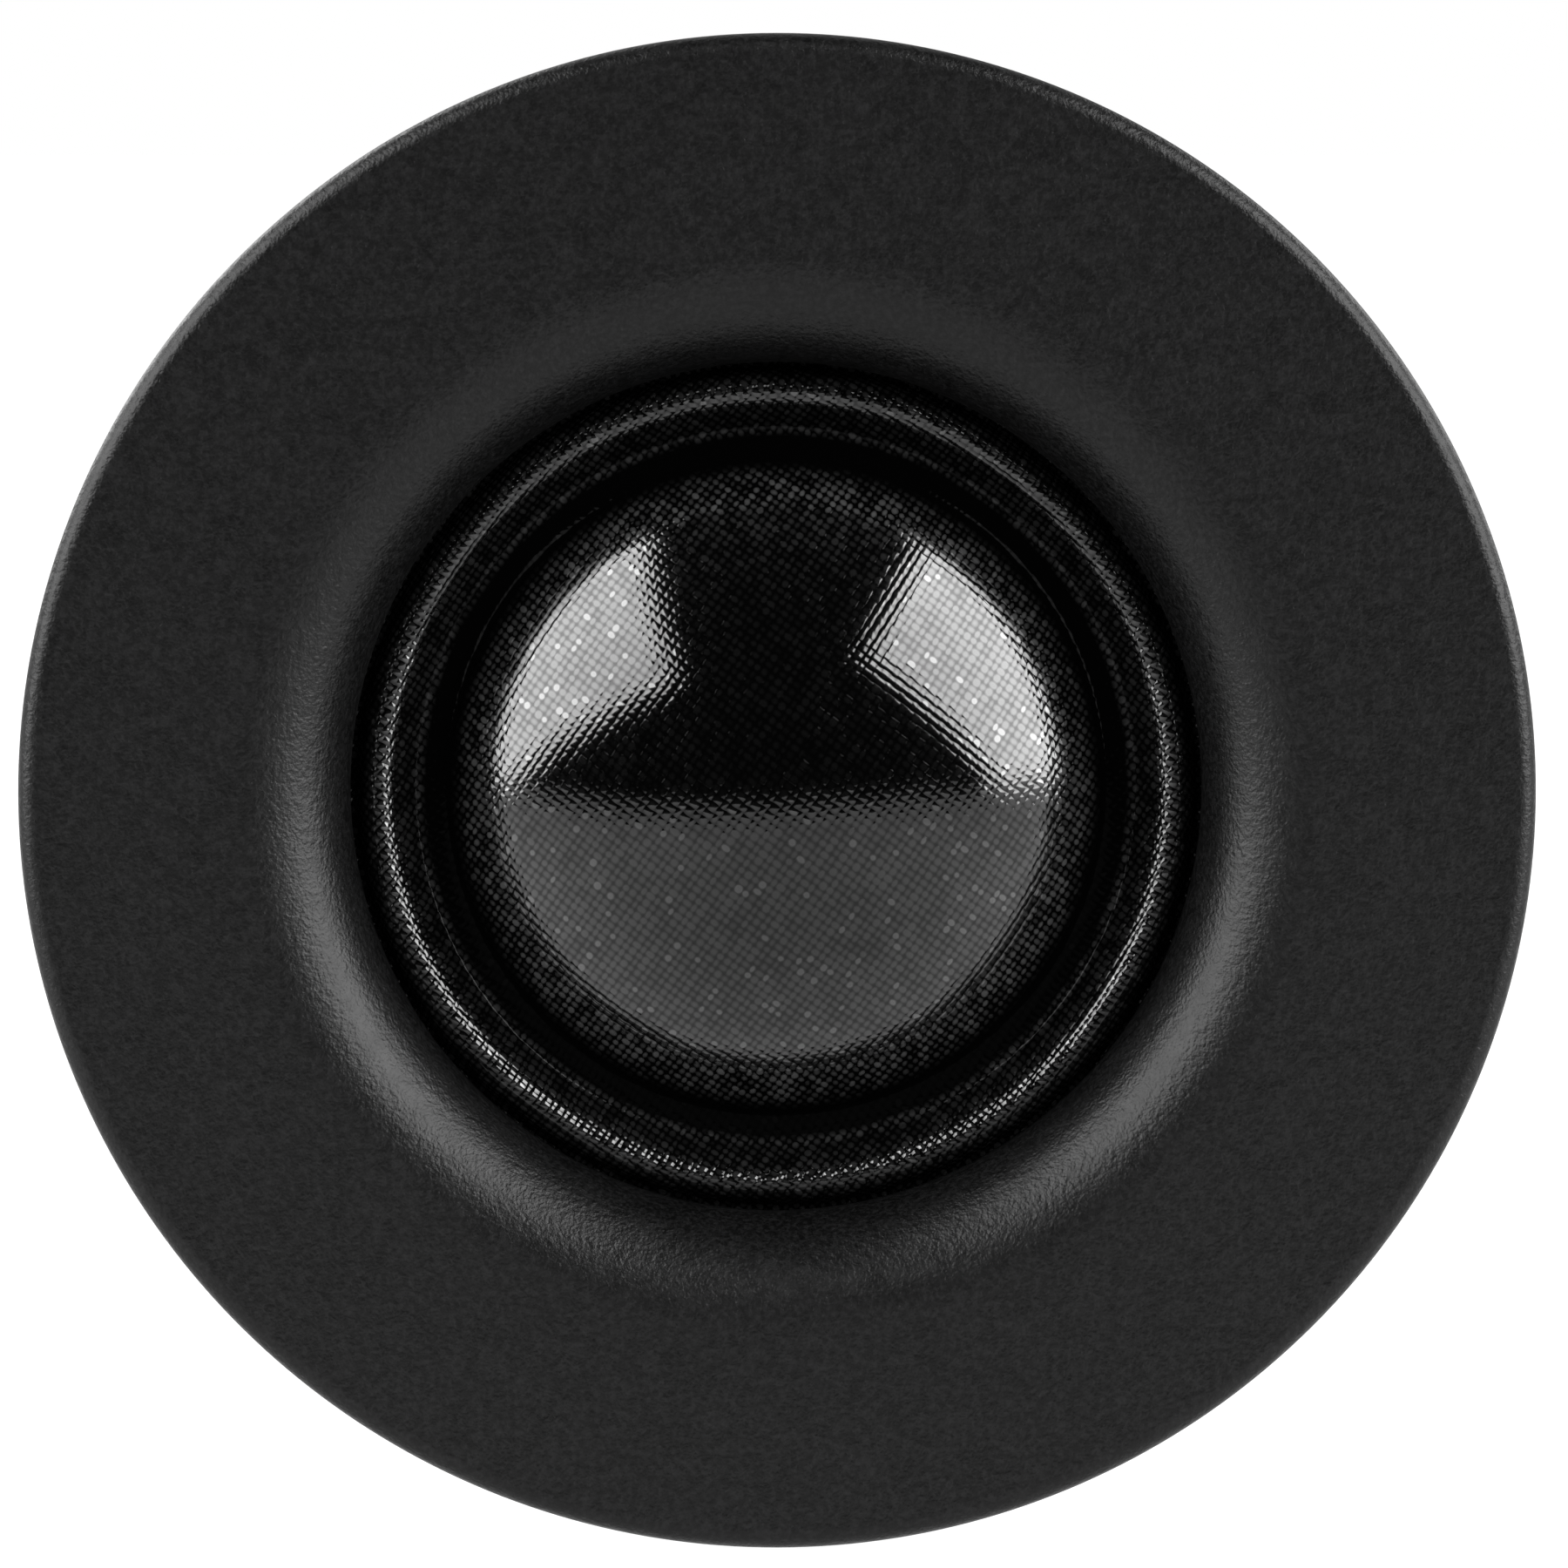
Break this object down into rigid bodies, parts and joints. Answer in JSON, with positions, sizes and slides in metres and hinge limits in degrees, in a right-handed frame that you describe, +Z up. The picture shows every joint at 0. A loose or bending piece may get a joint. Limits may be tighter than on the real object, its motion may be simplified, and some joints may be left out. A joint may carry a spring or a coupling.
{
  "type": "car tweeter",
  "caption": "Flush-mount soft-dome tweeter with a wide round flange, a neodymium motor in a sealed rear housing and a clamp strap that grips the panel.",
  "frame": {"origin": "centre of the flange's rear seat plane, which is the centre of the panel's cut-out", "axes": "-Y the way the tweeter fires, +Y rearwards along its axis, +Z up"},
  "size_m": [0.057, 0.0342, 0.057],
  "materials": {
    "powder_coat": "fine textured satin black",
    "coated_cloth": "woven cloth under gloss black varnish",
    "foam": "matt closed-cell foam",
    "frame_plastic": "matt moulded plastic",
    "housing_plastic": "fine spark-textured plastic",
    "board": "laminated phenolic board",
    "felt": "pressed wool felt",
    "zinc_steel": "zinc-plated sheet steel",
    "black_steel": "black oxide",
    "nickel": "satin nickel plate",
    "aluminium": "thin foil",
    "copper": "bare copper",
    "tinned_brass": "tin-plated brass",
    "red_wire": "PVC insulation",
    "black_wire": "PVC insulation"
  },
  "bodies": {
    "chassis": {"faceplate": "powder_coat", "panel_gasket": "foam", "chamber_seal": "foam", "surround": "coated_cloth", "diaphragm_frame": "frame_plastic", "motor_cup": "zinc_steel", "pole_plate": "black_steel", "magnet": "nickel", "copper_cap": "copper", "dome_damper": "felt", "rear_housing": "housing_plastic", "chamber_felt": "felt", "housing_screw_1": "black_steel", "housing_screw_2": "black_steel", "housing_screw_3": "black_steel", "terminal_board": "board", "terminal_positive": "tinned_brass", "terminal_negative": "tinned_brass", "terminal_rivet_positive": "tinned_brass", "terminal_rivet_negative": "tinned_brass", "lead_wire_positive": "red_wire", "lead_wire_negative": "black_wire", "mounting_stud": "zinc_steel"},
    "moving_coil": {"dome": "coated_cloth", "voice_coil_former": "aluminium", "voice_coil_winding": "copper"},
    "clamp": {"clamp_strap": "zinc_steel", "lock_washer": "zinc_steel"},
    "nut": {"clamp_nut": "nickel"}
  },
  "joints": [
    {"name": "dome_travel", "type": "slide", "parent": "chassis", "child": "moving_coil", "axis": [0, -1, 0], "range_m": [-0.0005, 0.0005], "stiffness_N_per_m": 6000, "deforming": ["surround"]},
    {"name": "clamp_slide", "type": "slide", "parent": "chassis", "child": "clamp", "axis": [0, 1, 0], "range_m": [-0.0028, 0.0021]},
    {"name": "nut_turn", "type": "hinge", "parent": "clamp", "child": "nut", "pos_m": [0, 0.026, 0], "axis": [0, 1, 0], "range_deg": [-1441, 1081]}
  ],
  "couplings": [
    {"joint": "nut_turn", "follows": "clamp_slide", "rad_per_m": 8976}
  ]
}
